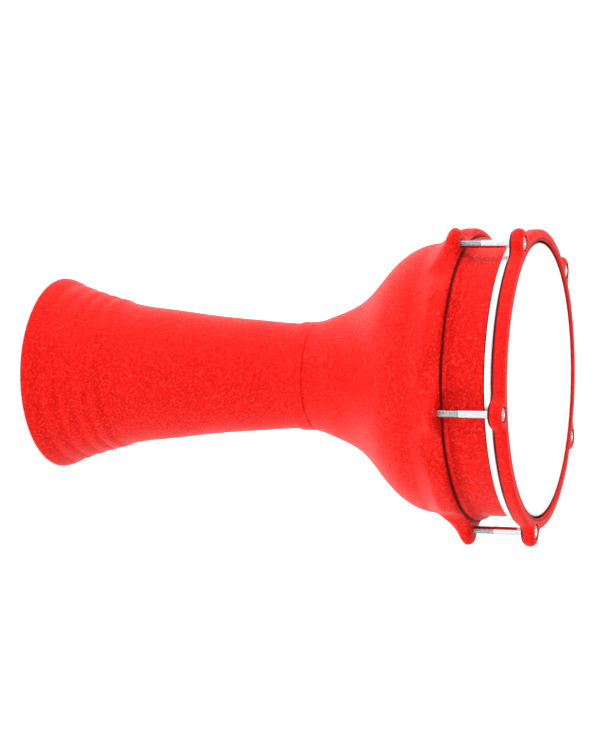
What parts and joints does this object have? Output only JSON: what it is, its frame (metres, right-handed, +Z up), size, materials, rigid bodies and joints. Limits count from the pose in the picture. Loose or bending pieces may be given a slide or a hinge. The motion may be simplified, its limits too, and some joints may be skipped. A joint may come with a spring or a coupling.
{
  "type": "goblet drum",
  "caption": "Upright goblet hand drum: ribbed flared foot, slim stem, round bowl, and a film head pulled over the bowl's edge by a bolted lugged rim.",
  "frame": {"origin": "centre of the foot's flat bottom ring, on the drum's axis", "axes": "+Z up the drum's axis towards the playing head, +X through tension bolt 1"},
  "size_m": [0.2418, 0.2428, 0.4038],
  "materials": {
    "red_powder_coat": "leather-grain powder coat over cast aluminium, semi-gloss",
    "white_head_film": "matt coated polyester film",
    "hoop_aluminium": "satin",
    "hoop_resin": "cast resin",
    "chromed_steel": "bright",
    "plated_washer": "zinc plated"
  },
  "bodies": {
    "drum_body": {"bowl_shell": "red_powder_coat", "stem_shell": "red_powder_coat", "drumhead_film": "white_head_film", "head_hoop": "hoop_aluminium", "hoop_resin": "hoop_resin"},
    "rim": {"tension_rim": "red_powder_coat", "bolt_washer_1": "plated_washer", "bolt_washer_2": "plated_washer", "bolt_washer_3": "plated_washer", "bolt_washer_4": "plated_washer", "bolt_washer_5": "plated_washer"},
    "bolt_1": {"tension_bolt_1": "chromed_steel"},
    "bolt_2": {"tension_bolt_2": "chromed_steel"},
    "bolt_3": {"tension_bolt_3": "chromed_steel"},
    "bolt_4": {"tension_bolt_4": "chromed_steel"},
    "bolt_5": {"tension_bolt_5": "chromed_steel"}
  },
  "joints": [
    {"name": "rim_slide", "type": "slide", "parent": "drum_body", "child": "rim", "axis": [0, 0, 1], "range_m": [0, 0.006]},
    {"name": "bolt_1_turn", "type": "hinge", "parent": "rim", "child": "bolt_1", "pos_m": [0.115, 0, 0.4], "axis": [0, 0, 1], "range_deg": [0, 2160]},
    {"name": "bolt_2_turn", "type": "hinge", "parent": "rim", "child": "bolt_2", "pos_m": [0.03554, 0.10937, 0.4], "axis": [0, 0, 1], "range_deg": [0, 2160]},
    {"name": "bolt_3_turn", "type": "hinge", "parent": "rim", "child": "bolt_3", "pos_m": [-0.09304, 0.0676, 0.4], "axis": [0, 0, 1], "range_deg": [0, 2160]},
    {"name": "bolt_4_turn", "type": "hinge", "parent": "rim", "child": "bolt_4", "pos_m": [-0.09304, -0.0676, 0.4], "axis": [0, 0, 1], "range_deg": [0, 2160]},
    {"name": "bolt_5_turn", "type": "hinge", "parent": "rim", "child": "bolt_5", "pos_m": [0.03554, -0.10937, 0.4], "axis": [0, 0, 1], "range_deg": [0, 2160]}
  ],
  "couplings": [
    {"joint": "bolt_1_turn", "follows": "rim_slide", "rad_per_m": 6283.2},
    {"joint": "bolt_2_turn", "follows": "rim_slide", "rad_per_m": 6283.2},
    {"joint": "bolt_3_turn", "follows": "rim_slide", "rad_per_m": 6283.2},
    {"joint": "bolt_4_turn", "follows": "rim_slide", "rad_per_m": 6283.2},
    {"joint": "bolt_5_turn", "follows": "rim_slide", "rad_per_m": 6283.2}
  ]
}
